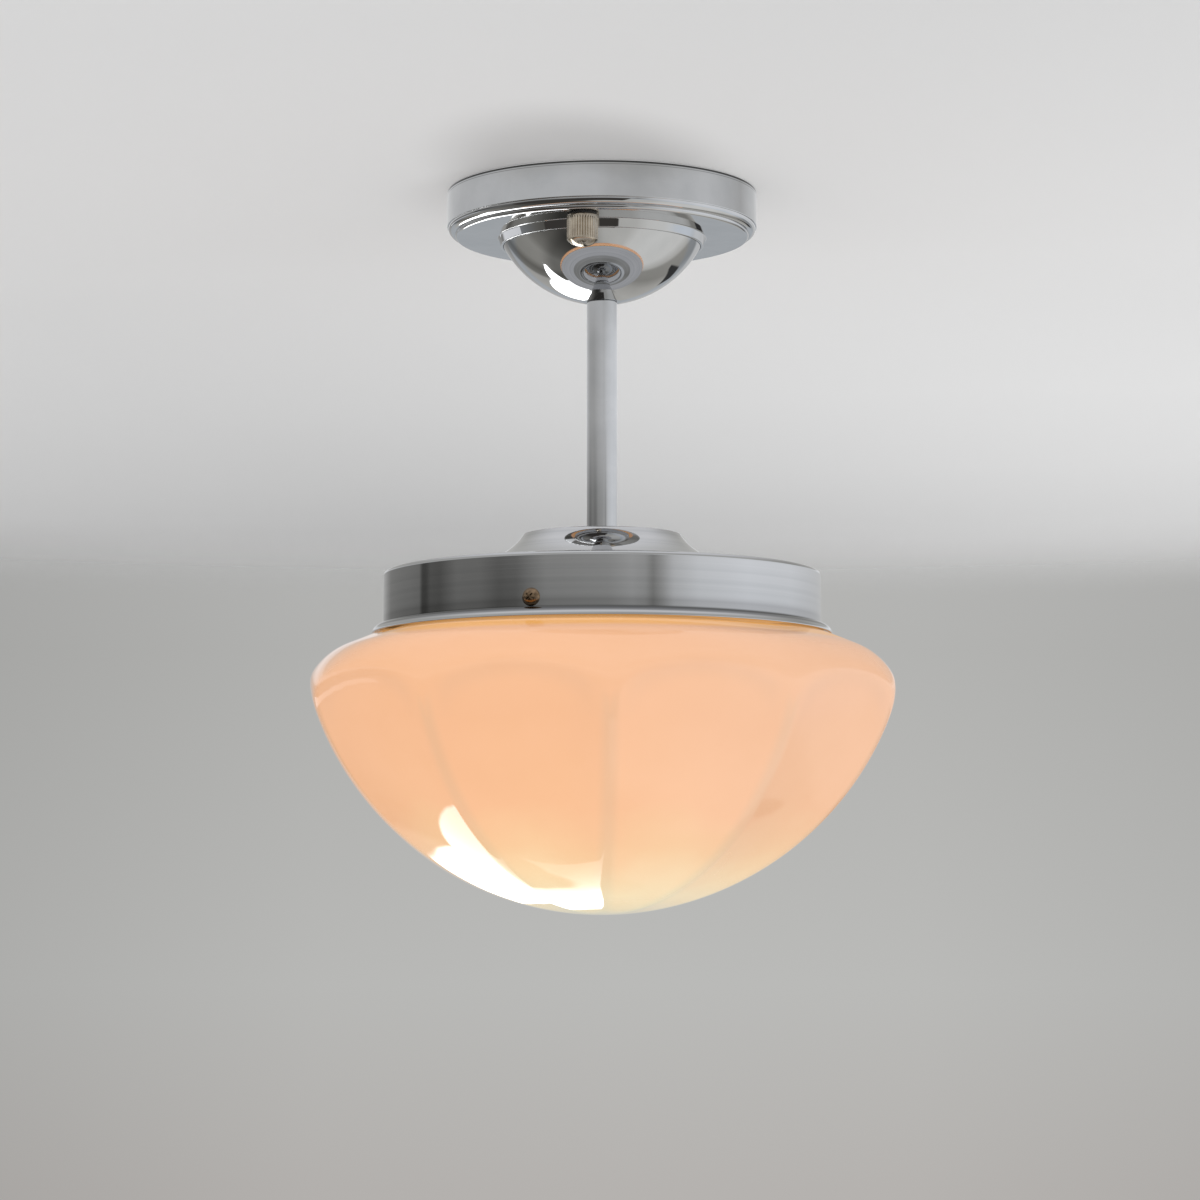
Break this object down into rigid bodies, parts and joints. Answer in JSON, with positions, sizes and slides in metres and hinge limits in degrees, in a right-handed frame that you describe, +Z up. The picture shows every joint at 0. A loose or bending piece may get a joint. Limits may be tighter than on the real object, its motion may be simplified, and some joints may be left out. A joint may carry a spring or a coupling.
{
  "type": "semi-flush pendant light",
  "caption": "Semi-flush ceiling pendant: chromed rose and dome, short rod, spun gallery and a panelled opal glass bowl held by clamping screws.",
  "frame": {"origin": "centre of the ceiling bracket's two slots, in the plane of the ceiling, on the light's axis", "axes": "+Z up into the ceiling along the light's axis; the two ceiling studs lie on the Y axis, and -Y is the front"},
  "size_m": [0.3078, 0.3072, 0.3791],
  "materials": {
    "chrome": "polished",
    "zinc_steel": "zinc plated",
    "brass": "turned",
    "screw_brass": "nickelled, slightly worn",
    "opal_glass": "glossy opal",
    "bulb_glass": "frosted white",
    "porcelain": "glazed",
    "nylon": "moulded",
    "fibre": "matt",
    "wire_brown": "smooth",
    "wire_blue": "smooth",
    "wire_green": "smooth"
  },
  "bodies": {
    "fitting": {"ceiling_bracket": "zinc_steel", "stud_screws": "zinc_steel", "stud_nuts": "zinc_steel", "earth_screw": "brass", "terminal_block": "nylon", "terminal_tubes": "brass", "terminal_screws": "zinc_steel", "canopy_pan": "chrome", "canopy_dome": "chrome", "top_nipple": "zinc_steel", "top_washer": "zinc_steel", "top_locknut": "zinc_steel", "rod": "chrome", "rod_plugs": "brass", "bottom_nipple": "zinc_steel", "bottom_washer": "zinc_steel", "bottom_locknut": "zinc_steel", "gallery": "chrome", "screw_bosses": "brass", "holder_cover": "porcelain", "holder_body": "porcelain", "holder_shell": "brass", "holder_contact": "brass", "wire_live": "wire_brown", "wire_neutral": "wire_blue", "wire_earth": "wire_green"},
    "cap_washer_front": {"cap_washer_front": "fibre"},
    "cap_nut_front": {"cap_nut_front": "chrome"},
    "cap_washer_back": {"cap_washer_back": "fibre"},
    "cap_nut_back": {"cap_nut_back": "chrome"},
    "screw_tip_a": {"screw_tip_a": "nylon"},
    "gallery_screw_a": {"gallery_screw_a": "screw_brass"},
    "screw_tip_b": {"screw_tip_b": "nylon"},
    "gallery_screw_b": {"gallery_screw_b": "screw_brass"},
    "screw_tip_c": {"screw_tip_c": "nylon"},
    "gallery_screw_c": {"gallery_screw_c": "screw_brass"},
    "shade": {"glass_bowl": "opal_glass"},
    "bulb": {"bulb_cap": "brass", "bulb_insulator": "fibre", "bulb_glass": "bulb_glass"}
  },
  "joints": [
    {"name": "cap_nut_front_travel", "type": "slide", "parent": "fitting", "child": "cap_washer_front", "axis": [0, 0, -1], "range_m": [0, 0.0115]},
    {"name": "cap_nut_front_turn", "type": "hinge", "parent": "cap_washer_front", "child": "cap_nut_front", "pos_m": [0, -0.0643, 0], "axis": [0, 0, -1], "range_deg": [0, 5940]},
    {"name": "cap_nut_back_travel", "type": "slide", "parent": "fitting", "child": "cap_washer_back", "axis": [0, 0, -1], "range_m": [0, 0.0115]},
    {"name": "cap_nut_back_turn", "type": "hinge", "parent": "cap_washer_back", "child": "cap_nut_back", "pos_m": [0, 0.0643, 0], "axis": [0, 0, -1], "range_deg": [0, 5940]},
    {"name": "gallery_screw_a_travel", "type": "slide", "parent": "fitting", "child": "screw_tip_a", "axis": [-0.1547, -0.988, 0], "range_m": [0, 0.006]},
    {"name": "gallery_screw_a_turn", "type": "hinge", "parent": "screw_tip_a", "child": "gallery_screw_a", "pos_m": [0, 0, -0.2244], "axis": [-0.1547, -0.988, 0], "range_deg": [0, 2710]},
    {"name": "gallery_screw_b_travel", "type": "slide", "parent": "fitting", "child": "screw_tip_b", "axis": [0.933, 0.36, 0], "range_m": [0, 0.006]},
    {"name": "gallery_screw_b_turn", "type": "hinge", "parent": "screw_tip_b", "child": "gallery_screw_b", "pos_m": [0, 0, -0.2244], "axis": [0.933, 0.36, 0], "range_deg": [0, 2710]},
    {"name": "gallery_screw_c_travel", "type": "slide", "parent": "fitting", "child": "screw_tip_c", "axis": [-0.7782, 0.628, 0], "range_m": [0, 0.006]},
    {"name": "gallery_screw_c_turn", "type": "hinge", "parent": "screw_tip_c", "child": "gallery_screw_c", "pos_m": [0, 0, -0.2244], "axis": [-0.7782, 0.628, 0], "range_deg": [0, 2710]},
    {"name": "shade_drop", "type": "slide", "parent": "fitting", "child": "shade", "axis": [0, 0, -1], "range_m": [0, 0.12]},
    {"name": "bulb_withdraw", "type": "slide", "parent": "fitting", "child": "bulb", "axis": [0, 0, -1], "range_m": [0, 0.024]}
  ],
  "couplings": [
    {"joint": "cap_nut_front_turn", "follows": "cap_nut_front_travel", "rad_per_m": 8976},
    {"joint": "cap_nut_back_turn", "follows": "cap_nut_back_travel", "rad_per_m": 8976},
    {"joint": "gallery_screw_a_turn", "follows": "gallery_screw_a_travel", "rad_per_m": 7854},
    {"joint": "gallery_screw_b_turn", "follows": "gallery_screw_b_travel", "rad_per_m": 7854},
    {"joint": "gallery_screw_c_turn", "follows": "gallery_screw_c_travel", "rad_per_m": 7854}
  ]
}
